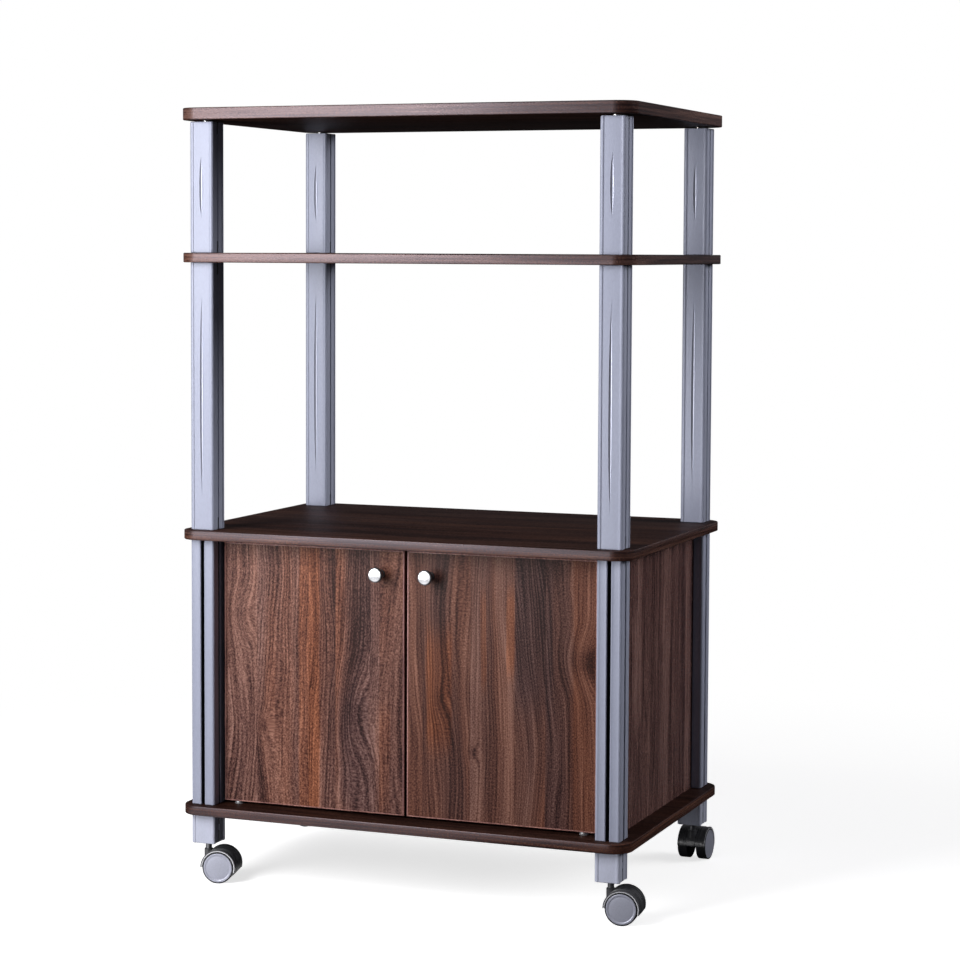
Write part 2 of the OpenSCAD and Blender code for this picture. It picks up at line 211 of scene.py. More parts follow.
# a knot is (across, along, half width, half length, depth)
# a patch is (across, along, half width, half length, lighter, towards orange or, below zero, plum)
walnutLooks = {
    "walnutDoorLeft": {
        **plainLook, "grain": "front", "seed": 3.1, "strength": 1.42, "figure": 0.92, "hue": 0.5,
        "stave": 0.052, "shift": 0.013, "lot": 0.14, "gloss": (0.34, 0.07), "sheen": neutralTint,
        "knots": ((-0.194, 0.204, 0.006, 0.010, 0.30), (-0.070, 0.228, 0.017, 0.036, 0.16),
                  (-0.042, 0.295, 0.006, 0.009, 0.25), (-0.222, 0.345, 0.013, 0.022, 0.16)),
        "patches": (
            (-0.131, 0.27, 0.0150, 0.60, 0.12, 1.00), (-0.044, 0.27, 0.043, 0.60, -0.08, -0.25),
            (-0.070, 0.18, 0.021, 0.075, -0.06, -0.45), (-0.030, 0.17, 0.011, 0.080, 0.07, 0.50),
            (-0.185, 0.31, 0.008, 0.10, 0.05, 0.20))},
    "walnutDoorRight": {
        **plainLook, "grain": "front", "seed": 8.4, "strength": 1.10, "figure": 0.80, "hue": 0.5,
        "stave": 0.055, "shift": 0.006, "lot": 0.12, "gloss": (0.34, 0.07), "sheen": neutralTint,
        "knots": ((0.238, 0.310, 0.022, 0.022, 0.30), (0.045, 0.254, 0.008, 0.016, 0.10),
                  (0.089, 0.190, 0.006, 0.009, 0.26), (0.168, 0.440, 0.030, 0.110, 0.04)),
        "patches": (
            (0.045, 0.265, 0.018, 0.085, 0.06, 0.90), (0.168, 0.345, 0.026, 0.110, -0.09, -0.80),
            (0.200, 0.27, 0.0150, 0.60, -0.07, -0.40), (0.235, 0.27, 0.0170, 0.60, 0.02, 0.50),
            (0.103, 0.33, 0.0040, 0.070, 0.06, 0.80), (0.138, 0.34, 0.0055, 0.060, 0.06, 0.80))},
    # the panels' walnut is leaned to plum: partly their own tone, partly a painted grey sheen of the fill
    # lamp
    "walnutSide": {
        **plainLook, "grain": "side", "seed": 14.7, "strength": 1.55, "figure": 0.90, "lean": -1.3,
        "stave": 0.060, "lot": 0.10, "knots": ((0.290, 0.300, 0.010, 0.018, 0.20),),
        "gloss": (0.25, 0.55), "sheen": neutralTint},
    # the boards' flat top and under faces: the same walnut with its tone set low, painted shade for the
    # shelves above them
    "walnutShadedFace": {
        **plainLook, "grain": "x", "seed": 21.3, "strength": 0.30, "figure": 0.9,
        "stave": 0.066, "lot": 0.06, "knots": ((-0.060, 0.090, 0.010, 0.016, 0.20),),
        "gloss": (0.50, 0.03), "sheen": neutralTint},
    "walnutBand": {**plainLook, "grain": "band", "seed": 27.9, "strength": 0.52, "figure": 1.2},
    # the doors' round front arrises: walnut made pale, a painted highlight along the edge
    "walnutDoorArris": {
        **plainLook, "grain": "side", "seed": 33.6, "strength": 4.60, "figure": 0.5, "lean": -0.8,
        "hue": 0.2},
    "walnutDoorEdge": {**plainLook, "grain": "side", "seed": 31.2, "strength": 0.60, "figure": 0.9},
}
# a layer of grain: fineness across and along, detail, roughness, share in the figure, seed step
grainLayers = {
    "broad": (26.0, 1.4, 2.0, 0.50, 1.5, 0.0),
    "middle": (95.0, 2.4, 3.0, 0.55, 1.0, 0.0),
    "fine": (260.0, 5.5, 2.0, 0.60, 0.9, 0.0),
    "hair": (600.0, 11.0, 1.0, 0.50, 0.9, 0.0),
    "speck": (720.0, 430.0, 1.0, 0.60, 1.7, 3.0)}
# a slow noise: fineness across and along, detail, seed step
slowNoises = {"drift": (9.0, 2.2, 2.0, 0.0), "sway": (34.0, 9.0, 2.0, 2.0), "lines": (12.0, 3.0, 1.0, 6.0),
              "warmth": (22.0, 1.3, 2.0, 9.0), "veins": (24.0, 1.1, 1.0, 12.0)}
grainShape = {
    "base": 0.10, "waver": 2.4, "waverReach": 0.20, "stagger": 3.0, "driftReach": 0.075,
    "swayReach": 0.009, "bandDrift": 0.006, "patchSway": 0.006, "patchSide": (0.78, 1.08),
    "patchEnd": (0.55, 1.15), "knotDark": (0.15, 1.25), "knotReach": 2.6, "knotPush": 0.9,
    "lineSpacing": 0.0048, "lineSharp": 1.7, "lineDepth": 0.30, "lineFade": (0.36, 0.60),
    "lineLeast": 0.35, "veins": ((0.5, 0.030), (0.40, 0.026)), "veinCore": 0.004, "veinDepth": 0.12,
    "warmthReach": 5.0, "roughFine": 0.20, "roughSpeck": 0.15, "bump": 0.16, "bumpHeight": 0.0004,
    "bumpFine": 0.4, "bumpHair": 0.4, "bumpSpeck": 0.5, "bumpLine": 0.35}


def slowNoise(g, label, across, run, seed):  # a noise drawn out along the grain
    fineAcross, fineAlong, detail, seedStep = slowNoises[label]
    return g.noise(g.point(across * fineAcross, run * fineAlong, seed + seedStep), 1.0, detail)


def walnut(name, look):
    roughness, shine = look["gloss"]
    material, g, shader = newFinish(name, {
        "Specular IOR Level": shine, "Specular Tint": (*look["sheen"], 1.0)})
    x, y, z = g.objectPlace()
    along, across, deep = {"x": (x, y, z), "front": (z, x, y), "side": (z, x + y, x - y),
                           "band": (x + y, z, x * 0.0)}[look["grain"]]
    seed, s = look["seed"], grainShape
    # staves: strips side by side, of uneven width, each with its own tone, hue and stretch of grain
    strip = (across + look["shift"] + 2.0) / look["stave"]
    strip = (strip + (strip * s["waver"]).wave() * s["waverReach"]).whole()
    lot = g.node("ShaderNodeTexWhiteNoise", {"noise_dimensions": "1D"}, {"W": strip + seed})
    lotTone, lotHue, lotPlace = g.split(lot.other("Color"))
    run = along + lotPlace * s["stagger"]
    knotDark, knotPush = 0.0, 0.0
    for kAcross, kAlong, kWide, kLong, kDeep in look["knots"]:
        gap = (((across - kAcross) / kWide) ** 2.0 + ((along - kAlong) / kLong) ** 2.0) ** 0.5
        knotDark = (1.0 - gap.rise(*s["knotDark"])) * kDeep + knotDark
        knotPush = (1.0 - gap.rise(0.0, s["knotReach"])) * (kWide * s["knotPush"]) + knotPush
    drift = slowNoise(g, "drift", across, run, seed) - 0.5
    sway = slowNoise(g, "sway", across, run, seed) - 0.5
    patchTone, patchHue = 0.0, 0.0
    for pAcross, pAlong, pWide, pLong, lighter, hue in look["patches"]:
        aside = (across - pAcross + sway * s["patchSway"]).size() / pWide
        beyond = (along - pAlong).size() / pLong
        inPatch = (1.0 - aside.rise(*s["patchSide"])) * (1.0 - beyond.rise(*s["patchEnd"]))
        patchTone = inPatch * lighter + patchTone
        patchHue = inPatch * hue + patchHue
    # the grain bends with slow noise and round the knots
    if look["grain"] == "band":
        bent = across + drift * s["bandDrift"]
    else:
        bent = across + drift * s["driftReach"] + sway * s["swayReach"] + knotPush
    # growth lines: contours of the distance across; a vein is one contour of a slow noise
    lines = (bent * (lotPlace * 0.4 + 0.8) * (2 * math.pi / s["lineSpacing"])).wave() * 0.5 + 0.5
    lines = lines ** s["lineSharp"]
    reach = slowNoise(g, "lines", across, run, seed).rise(*s["lineFade"])
    reach = reach * (1.0 - s["lineLeast"]) + s["lineLeast"]
    slow = slowNoise(g, "veins", bent, run, seed)
    vein = sum(1.0 - (slow - level).size().rise(s["veinCore"], wide) for level, wide in s["veins"])
    layers, figure = {}, s["base"]
    for label, (fineAcross, fineAlong, detail, rough, share, seedStep) in grainLayers.items():
        place = g.point(bent * fineAcross, run * fineAlong, deep * fineAcross + (seed + seedStep))
        layers[label] = g.noise(place, 1.0, detail, rough) - 0.5
        figure = figure + layers[label] * share
    figure = figure - lines * reach * s["lineDepth"] - vein * s["veinDepth"]
    tone = 0.5 + (lotTone - 0.5) * look["lot"] + patchTone + figure * look["figure"] - knotDark
    stops = tuple((place, tuple(c * look["strength"] for c in tint)) for place, tint in walnutTones)
    body = g.node("ShaderNodeValToRGB", {"stops": stops}, {"Fac": tone})
    warmth = slowNoise(g, "warmth", bent, run, seed) - 0.5
    hue = (warmth * s["warmthReach"] + (lotHue - 0.5)) * look["hue"] + patchHue + look["lean"]
    tint = g.mix(hue.atLeast(0.0).atMost(1.0), neutralTint, orangeTint)
    tint = g.mix((-hue).atLeast(0.0).atMost(1.0), tint, plumTint)
    feed(g, shader, "Base Color", g.mix(1.0, body, tint, "MULTIPLY"))
    fine, hair, speck = layers["fine"], layers["hair"], layers["speck"]
    feed(g, shader, "Roughness", roughness - fine * s["roughFine"] - speck * s["roughSpeck"])
    height = (fine * s["bumpFine"] + hair * s["bumpHair"] + speck * s["bumpSpeck"]
              - lines * reach * s["bumpLine"])
    roughen(g, shader, height, s["bump"], s["bumpHeight"])
    return material


walnuts = {name: walnut(name, look) for name, look in walnutLooks.items()}
print("walnut ready")


# metals and plastics; grain is its fineness along x, y and z
finishLooks = {
    "silverPost": {
        "tint": (0.320, 0.338, 0.436), "vary": 0.06, "metal": 0.08, "rough": 0.40, "shine": 0.12,
        "grain": (520.0, 520.0, 260.0), "bump": 0.03, "coat": 0.15, "coatRough": 0.16},
    # the legs: the post metal made lighter and glossier, painted light for the legs low down
    "legSilverPaintedLight": {
        "tint": (0.500, 0.520, 0.640), "vary": 0.06, "metal": 0.08, "rough": 0.40, "shine": 0.20,
        "grain": (520.0, 520.0, 260.0), "bump": 0.03, "coat": 0.45, "coatRough": 0.14},
    # a lighter, shinier copy of the post metal for the pressed lens: a painted highlight
    "grooveHighlightSilver": {
        "tint": (0.360, 0.376, 0.460), "vary": 0.02, "metal": 0.55, "rough": 0.33, "shine": 0.4,
        "grain": (520.0, 520.0, 260.0), "bump": 0.0},
    "polishedSteel": {
        "tint": (0.86, 0.86, 0.88), "vary": 0.04, "metal": 1.0, "rough": 0.22, "shine": 0.5,
        "grain": (260.0, 260.0, 260.0), "bump": 0.02},
    "satinSilver": {
        "tint": (0.64, 0.64, 0.67), "vary": 0.08, "metal": 1.0, "rough": 0.17, "shine": 0.5,
        "grain": (260.0, 260.0, 260.0), "bump": 0.02},
    # dark steel for the caster stems; on the knobs' rims it is a painted dark reflection
    "darkSteelAndRimReflection": {
        "tint": (0.17, 0.17, 0.18), "vary": 0.14, "metal": 0.8, "rough": 0.40, "shine": 0.5,
        "grain": (420.0, 420.0, 420.0), "bump": 0.05},
    "bushGrey": {
        "tint": (0.16, 0.16, 0.17), "vary": 0.10, "metal": 0.0, "rough": 0.45, "shine": 0.4,
        "grain": (500.0, 500.0, 500.0), "bump": 0.05},
    "zincSteel": {
        "tint": (0.62, 0.63, 0.66), "vary": 0.14, "metal": 0.9, "rough": 0.36, "shine": 0.5,
        "grain": (420.0, 420.0, 420.0), "bump": 0.05},
    "plugPlastic": {
        "tint": (0.030, 0.031, 0.035), "vary": 0.20, "metal": 0.0, "rough": 0.55, "shine": 0.4,
        "grain": (900.0, 900.0, 900.0), "bump": 0.12},
    # near black for the slot walls: painted shade deep in the slots
    "slotPaintedShade": {
        "tint": (0.018, 0.018, 0.022), "vary": 0.15, "metal": 0.0, "rough": 0.50, "shine": 0.15,
        "grain": (500.0, 500.0, 260.0), "bump": 0.04},
    "whiteNylon": {
        "tint": (0.72, 0.72, 0.69), "vary": 0.05, "metal": 0.0, "rough": 0.42, "shine": 0.5,
        "grain": (500.0, 500.0, 500.0), "bump": 0.05},
    "hoodGrey": {
        "tint": (0.060, 0.060, 0.066), "vary": 0.14, "metal": 0.0, "rough": 0.30, "shine": 0.5,
        "grain": (1100.0, 1100.0, 1100.0), "bump": 0.10},
    # pale grey on the hood's black lip: a painted highlight where the lip catches light
    "lipHighlightGrey": {
        "tint": (0.74, 0.74, 0.78), "vary": 0.08, "metal": 0.20, "rough": 0.28, "shine": 0.5,
        "grain": (900.0, 900.0, 900.0), "bump": 0.05},
    "treadGrey": {
        "tint": (0.020, 0.020, 0.023), "vary": 0.22, "metal": 0.0, "rough": 0.45, "shine": 0.2,
        "grain": (800.0, 800.0, 800.0), "bump": 0.16},
    "discGrey": {
        "tint": (0.41, 0.42, 0.51), "vary": 0.08, "metal": 0.25, "rough": 0.34, "shine": 0.5,
        "grain": (600.0, 600.0, 600.0), "bump": 0.05},
}


finishShape = {"cloud": (38.0, 38.0, 16.0), "darker": 1.6, "lighter": 1.2, "lightest": 0.9,
               "grainShare": 1.3, "cloudShare": 0.9, "roughCloud": 0.16, "roughGrain": 0.10,
               "bumpHeight": 0.0003}


def moulded(name, look):
    material, g, shader = newFinish(name, {
        "Metallic": look["metal"], "Specular IOR Level": look["shine"],
        "Coat Weight": look.get("coat", 0.0), "Coat Roughness": look.get("coatRough", 0.1)})
    x, y, z = g.objectPlace()
    (sx, sy, sz), (cx, cy, cz), s = look["grain"], finishShape["cloud"], finishShape
    grain = g.noise(g.point(x * sx, y * sy, z * sz), 1.0, 3.0, 0.6) - 0.5
    cloud = g.noise(g.point(x * cx, y * cy, z * cz), 1.0, 3.0, 0.5) - 0.5
    tint, vary = look["tint"], look["vary"]
    darker = tuple(c * (1.0 - vary * s["darker"]) for c in tint)
    lighter = tuple(min(c * (1.0 + vary * s["lighter"]), s["lightest"]) for c in tint)
    spread = (0.5 + grain * s["grainShare"] + cloud * s["cloudShare"]).atLeast(0.0).atMost(1.0)
    feed(g, shader, "Base Color", g.mix(spread, darker, lighter))
    feed(g, shader, "Roughness", look["rough"] + cloud * s["roughCloud"] + grain * s["roughGrain"])
    roughen(g, shader, grain, look["bump"], s["bumpHeight"])
    return material


finishes = {name: moulded(name, look) for name, look in finishLooks.items()}
print("metals and plastics ready")


# making and placing pieces
def smoothPiece(mesh, angle=28.0, flatOver=0.002):  # large flat faces keep one normal
    mesh.polygons.foreach_set("use_smooth", [face.area < flatOver for face in mesh.polygons])
    mesh.set_sharp_from_angle(angle=math.radians(angle))
    mesh.update()


def addPiece(name, mesh, finish, body, stands=()):
    piece = bpy.data.objects.new(name, mesh)
    bpy.context.scene.collection.objects.link(piece)
    if finish is not None:
        mesh.materials.clear()
        mesh.materials.append(finish)
    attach(piece, body)
    if stands:
        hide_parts(*stands)
    return piece


def closedMesh(name, work, angle=28.0):  # a bmesh becomes a mesh with its normals outwards
    bmesh.ops.remove_doubles(work, verts=work.verts, dist=1e-6)
    bmesh.ops.recalc_face_normals(work, faces=work.faces)
    mesh = bpy.data.meshes.new(name)
    work.to_mesh(mesh)
    work.free()
    smoothPiece(mesh, angle)
    return mesh


def turned(work, profile, place, steps=64):  # (radius, height) points turned about the local z
    rings = []
    for radius, height in profile:
        count = 1 if radius < 1e-9 else steps
        ring = []
        for step in range(count):
            turn = 2 * math.pi * step / steps
            spot = Vector((radius * math.cos(turn), radius * math.sin(turn), height))
            ring.append(work.verts.new(place @ spot))
        rings.append(ring)
    for a, b in zip(rings, rings[1:]):
        for step in range(steps):
            now, after = step, (step + 1) % steps
            if len(a) == 1 and len(b) == 1:
                continue
            if len(a) == 1:
                work.faces.new((a[0], b[now], b[after]))
            elif len(b) == 1:
                work.faces.new((a[now], a[after], b[0]))
            else:
                work.faces.new((a[now], a[after], b[after], b[now]))


def arc(cx, cy, radius, start, stop, steps):
    points = []
    for step in range(steps + 1):
        turn = math.radians(start + (stop - start) * step / steps)
        points.append((cx + radius * math.cos(turn), cy + radius * math.sin(turn)))
    return points


def placeAt(origin, zAxis, xHint=Vector((1, 0, 0))):
    zAxis = zAxis.normalized()
    yAxis = zAxis.cross(xHint).normalized()
    xAxis = yAxis.cross(zAxis)
    turn = Matrix((xAxis, yAxis, zAxis)).transposed().to_4x4()
    return Matrix.Translation(origin) @ turn


def newTree(name, inputs):  # a geometry tree, its graph and one wire for each named input
    tree = bpy.data.node_groups.new(name, "GeometryNodeTree")
    tree.interface.new_socket("Geometry", in_out="OUTPUT", socket_type="NodeSocketGeometry")
    for label, (kind, value) in inputs.items():
        socket = tree.interface.new_socket(label, in_out="INPUT", socket_type="NodeSocket" + kind)
        if value is not None:
            socket.default_value = value
    g = Graph(tree)
    source = tree.nodes.new("NodeGroupInput")
    wires = {label: Wire(g, source.outputs[label]) for label in inputs}
    return tree, g, wires


def endTree(g, geometry, material):
    real = g.node("GeometryNodeRealizeInstances", {}, {0: geometry})
    dressed = g.node("GeometryNodeSetMaterial", {}, {"Geometry": real, "Material": material})
    g.tree.links.new(dressed.socket, g.tree.nodes.new("NodeGroupOutput").inputs[0])


def grow(name, tree, values, bevel=None):  # runs a tree, and gives back its plain mesh
    carrier = bpy.data.objects.new(name + "Carrier", bpy.data.meshes.new(name + "Empty"))
    bpy.context.scene.collection.objects.link(carrier)
    modifier = carrier.modifiers.new("grow", "NODES")
    modifier.node_group = tree
    for item in tree.interface.items_tree:
        if item.in_out == "INPUT" and item.name in values:
            modifier[item.identifier] = values[item.name]
    if bevel:
        soft = carrier.modifiers.new("soften", "BEVEL")
        soft.width, soft.segments, soft.limit_method = bevel["width"], bevel["steps"], "ANGLE"
        soft.angle_limit = math.radians(bevel["angle"])
    shapes = bpy.context.evaluated_depsgraph_get()
    mesh = bpy.data.meshes.new_from_object(carrier.evaluated_get(shapes), depsgraph=shapes)
    mesh.name = name
    carrier.modifiers.clear()
    bpy.data.objects.remove(carrier)
    return mesh


# boards
boardShape = {"corner": 25 * mm, "cornerSteps": 14, "arris": 1.3 * mm, "arrisSteps": 4,
              "arrisAngle": 50, "smooth": 35, "flat": 0.97}
boards = {"top_board": "topBoard", "middle_shelf": "middleShelf", "cabinet_top_board": "cabinetTop",
          "bottom_board": "bottomBoard"}

boardTree, g, put = newTree("roundedBoard", {
    "Width": ("Float", 0.6), "Depth": ("Float", 0.4), "Thickness": ("Float", 0.012),
    "Level": ("Float", 0.0), "Corner": ("Float", 0.025), "Corner Steps": ("Int", 14),
    "Material": ("Material", None)})
outline = g.node("GeometryNodeCurvePrimitiveQuadrilateral", {"mode": "RECTANGLE"},
                 {"Width": put["Width"], "Height": put["Depth"]})
outline = g.node("GeometryNodeFilletCurve", {"mode": "POLY"},
                 {"Curve": outline, "Count": put["Corner Steps"], "Radius": put["Corner"]})
flat = g.node("GeometryNodeFillCurve", {"mode": "NGONS"}, {"Curve": outline})
raised = g.node("GeometryNodeExtrudeMesh", {"mode": "FACES"},
                {"Mesh": flat, "Offset": g.point(0.0, 0.0, put["Thickness"]), "Offset Scale": 1.0})
under = g.node("GeometryNodeFlipFaces", {}, {"Mesh": flat})
shell = g.node("GeometryNodeJoinGeometry", {}, {"Geometry": raised})
g.tree.links.new(under.socket, shell.socket.node.inputs[0])
shell = g.node("GeometryNodeMergeByDistance", {}, {"Geometry": shell, "Distance": 1e-6})
shell = g.node("GeometryNodeTransform", {},
               {"Geometry": shell, "Translation": g.point(0.0, 0.0, put["Level"])})
endTree(g, shell, put["Material"])

for node, name in boards.items():
    low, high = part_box(node)
    mesh = grow(name, boardTree, {
        "Width": high.x - low.x, "Depth": high.y - low.y, "Thickness": high.z - low.z, "Level": low.z,
        "Corner": boardShape["corner"], "Corner Steps": boardShape["cornerSteps"],
        "Material": walnuts["walnutShadedFace"]},
        {"width": boardShape["arris"], "steps": boardShape["arrisSteps"],
         "angle": boardShape["arrisAngle"]})
    mesh.materials.clear()
    mesh.materials.append(walnuts["walnutShadedFace"])
    mesh.materials.append(walnuts["walnutBand"])
    # flat top and under faces take the walnut with painted shade; the edges and round corners take the
    # band
    for face in mesh.polygons:
        face.material_index = 0 if abs(face.normal.z) > boardShape["flat"] else 1
    smoothPiece(mesh, boardShape["smooth"])
    addPiece(name, mesh, None, "root", (node,))
print("boards ready")


# posts and legs
postShape = {"side": 32 * mm, "corner": 3 * mm, "border": 5 * mm, "step": 0.7 * mm, "crown": 0.16 * mm,
             "slotHalf": 2.2 * mm, "slotDeep": 9 * mm, "lip": 1.5 * mm, "dish": 0.38 * mm,
             "ease": 0.7 * mm, "sideStep": 1.1 * mm, "channelHalf": 1.5 * mm, "channelDeep": 2.4 * mm,
             "smooth": 24}
grooveShape = {"half": 2.7 * mm, "deep": 1.3 * mm, "end": 44 * mm, "tipCurve": 2.6, "tipWidth": 0.05,
               "depthCurve": 0.6, "flankCurve": 1.7, "reach": 3 * mm}


def halfCorner():  # half of a post's rounded corner, where a half face ends
    corner = postShape["corner"]
    return arc(postShape["side"] / 2 - corner, corner, corner, -90, -45, 5)


def borderStep(step, stages):  # up from the face to the border: (mm beyond its edge, share of the step)
    edge = postShape["side"] / 2 - postShape["border"]
    return [(edge + beyond * mm, step * share) for beyond, share in stages]


def tubeHalfFace():  # (distance from the face's middle, depth below it), from the middle outwards
    reachOut = postShape["side"] / 2 - postShape["border"]
    step, crown = postShape["step"], postShape["crown"]
    columns = [(grooveShape["half"] * t, step - crown) for t in (0, 0.12, 0.3, 0.5, 0.7, 0.85, 1.0)]
    columns += [(t * reachOut, step - crown * (1 - t * t)) for t in (0.4, 0.6, 0.8, 0.93)]
    columns += borderStep(step, ((-0.3, 0.94), (0.0, 0.55), (0.3, 0.12), (0.6, 0.0)))
    return columns + halfCorner()


def tubeHalfSide():  # the same for the two side faces, which have a channel down the middle
    reachOut, step = postShape["side"] / 2 - postShape["border"], postShape["sideStep"]
    half, deep = postShape["channelHalf"], postShape["channelDeep"]
    columns = [(0.0, deep), (half * 0.8, deep), (half, deep - 0.3 * mm),
               (half + 0.2 * mm, step + 0.2 * mm), (half + 0.6 * mm, step), (reachOut * 0.7, step)]
    columns += borderStep(step, ((-0.4, 0.96), (0.0, 0.6), (0.4, 0.1), (0.8, 0.0)))
    return columns + halfCorner()


def slottedHalfFace():
    half, lip = postShape["slotHalf"], postShape["lip"]
    columns = [(half, postShape["slotDeep"]), (half, lip)] + arc(half + lip, lip, lip, 180, 270, 5)[1:]
    start, stop = half + lip, postShape["side"] / 2 - postShape["corner"]
    for t in (0.08, 0.2, 0.35, 0.5, 0.65, 0.8, 0.92):
        columns.append((start + (stop - start) * t, postShape["dish"] * (1 - (2 * t - 1) ** 4)))
    return columns + halfCorner()


def ringOutline(name, halfFront, halfSide):  # a closed loop of edges, from two half faces mirrored
    half = postShape["side"] / 2
    loop = []
    for quarter in range(4):
        turn = Matrix.Rotation(math.radians(90 * quarter), 2)
        halfFace = halfSide if quarter % 2 else halfFront
        for t, d in [(-t, d) for t, d in reversed(halfFace)] + halfFace:
            p = turn @ Vector((t, d - half))
            if not loop or (p - loop[-1]).length > 1e-6:
                loop.append(p)
    if (loop[0] - loop[-1]).length < 1e-6:
        loop.pop()
    mesh = bpy.data.meshes.new(name)
    edges = [(i, (i + 1) % len(loop)) for i in range(len(loop))]
    mesh.from_pydata([(p.x, p.y, 0.0) for p in loop], edges, [])
    ring = bpy.data.objects.new(name, mesh)
    bpy.context.scene.collection.objects.link(ring)
    return ring


def postTree(name, pressed):
    tree, g, put = newTree(name, {
        "Outline": ("Object", None), "Centre X": ("Float", 0.0), "Centre Y": ("Float", 0.0),
        "Base": ("Float", 0.0), "Height": ("Float", 0.1), "Ease": ("Float", 0.0004),
        "Rows": ("Int", 40), "Groove Half": ("Float", 0.003), "Groove Deep": ("Float", 0.0008),
        "Groove End": ("Float", 0.044), "Material": ("Material", None)})
    ring = g.node("GeometryNodeObjectInfo", {}, {"Object": put["Outline"]}).other("Geometry")
    ring = g.node("GeometryNodeMeshToCurve", {}, {"Mesh": ring})
    line = g.node("GeometryNodeCurvePrimitiveLine", {}, {"Start": (0, 0, 0), "End": (0, 0, 1)})
    line = g.node("GeometryNodeResampleCurve", {}, {"Curve": line, "Count": put["Rows"]})
    # rows: one at each end, one an ease in from it, and the others evenly between
    row = g.node("GeometryNodeSplineParameter") * (put["Rows"] - 1.0)
    inner = ((row - 1.0) / (put["Rows"] - 3.0)).atLeast(0.0).atMost(1.0)
    ease, height = put["Ease"], put["Height"]
    level = (ease + inner * (height - ease * 2.0) - row.below(0.5) * ease
             + row.above(put["Rows"] - 1.5) * ease)
    line = g.node("GeometryNodeSetPosition", {},
                  {"Geometry": line, "Position": g.point(0.0, 0.0, level)})
    post = g.node("GeometryNodeCurveToMesh", {},
                  {"Curve": line, "Profile Curve": ring, "Fill Caps": True})
    x, y, z = g.split(g.node("GeometryNodeInputPosition"))
    halfSide = postShape["side"] / 2
    shrink = 1.0 - (z.below(ease * 0.5) + z.above(height - ease * 0.5)) * (ease / halfSide)
    post = g.node("GeometryNodeSetPosition", {},
                  {"Geometry": post, "Position": g.point(x * shrink, y * shrink, z)})
    if pressed:  # the lens: its columns follow the outline, and its depth fades to the tips
        half = put["Groove Half"]
        reach = (z - height / 2.0) / (height / 2.0 - put["Groove End"])
        lens = (1.0 - reach.size() ** grooveShape["tipCurve"]).atLeast(0.0)
        inFront = y.below(-halfSide + 2 * mm) * x.size().below(half * 1.001)
        u = x / half
        squeeze = u * half * lens.atLeast(grooveShape["tipWidth"])
        flank = 1.0 - u.size() ** grooveShape["flankCurve"]
        dent = put["Groove Deep"] * (lens ** grooveShape["depthCurve"]) * flank
        post = g.node("GeometryNodeSetPosition", {}, {
            "Geometry": post, "Selection": inFront.above(0.5),
            "Position": g.point(squeeze, y + dent, z)})
    post = g.node("GeometryNodeTransform", {}, {
        "Geometry": post, "Translation": g.point(put["Centre X"], put["Centre Y"], put["Base"])})
    endTree(g, post, put["Material"])
    return tree


def dressSome(mesh, finish, chosen):  # a second finish, on the faces that the function picks
    mesh.materials.append(finish)
    for face in mesh.polygons:
        if chosen(face):
            face.material_index = 1


tubeRing = ringOutline("tubeRing", tubeHalfFace(), tubeHalfSide())
slotRing = ringOutline("slotRing", slottedHalfFace(), slottedHalfFace())
pressedTree = postTree("pressedPost", True)
plainTree = postTree("plainPost", False)
postKinds = {  # label, tree, outline, rows, finish
    "upper_post": ("upperPost", pressedTree, tubeRing, 80, "silverPost"),
    "middle_post": ("middlePost", pressedTree, tubeRing, 120, "silverPost"),
    "cabinet_post": ("cabinetPost", plainTree, slotRing, 6, "silverPost"),
    "leg": ("leg", plainTree, tubeRing, 6, "legSilverPaintedLight")}
for kind, (label, tree, ring, rows, skin) in postKinds.items():
    for corner in corners:
        low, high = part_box(kind + "_" + corner)
        middle = (low + high) / 2
        name = label + "_" + corner
        mesh = grow(name, tree, {
            "Outline": ring, "Centre X": middle.x, "Centre Y": middle.y, "Base": low.z,
            "Height": high.z - low.z, "Ease": postShape["ease"], "Rows": rows,
            "Groove Half": grooveShape["half"], "Groove Deep": grooveShape["deep"],
            "Groove End": grooveShape["end"], "Material": finishes[skin]})
        work = bmesh.new()
        work.from_mesh(mesh)
        mesh = closedMesh(name, work, postShape["smooth"])
        addPiece(name, mesh, finishes[skin], "root", (kind + "_" + corner,))
        if tree is pressedTree:  # the pressed lens gets a lighter, shinier copy of the post metal, a painted highlight
            dressSome(mesh, finishes["grooveHighlightSilver"], lambda face: (
                abs(face.center.x - middle.x) < grooveShape["half"]
                and face.center.y < low.y + grooveShape["reach"] and abs(face.normal.x) > 0.05))
        if ring is slotRing:  # painted shade: the slot walls that hold the panels get a near-black finish for the shade deep in the slots
            skinDepth = postShape["side"] / 2 - postShape["lip"]
            dressSome(mesh, finishes["slotPaintedShade"], lambda face: (
                abs(face.normal.z) < 0.5 and abs(face.center.x - middle.x) < skinDepth
                and abs(face.center.y - middle.y) < skinDepth))
bpy.data.objects.remove(tubeRing)
bpy.data.objects.remove(slotRing)
print("posts and legs ready")


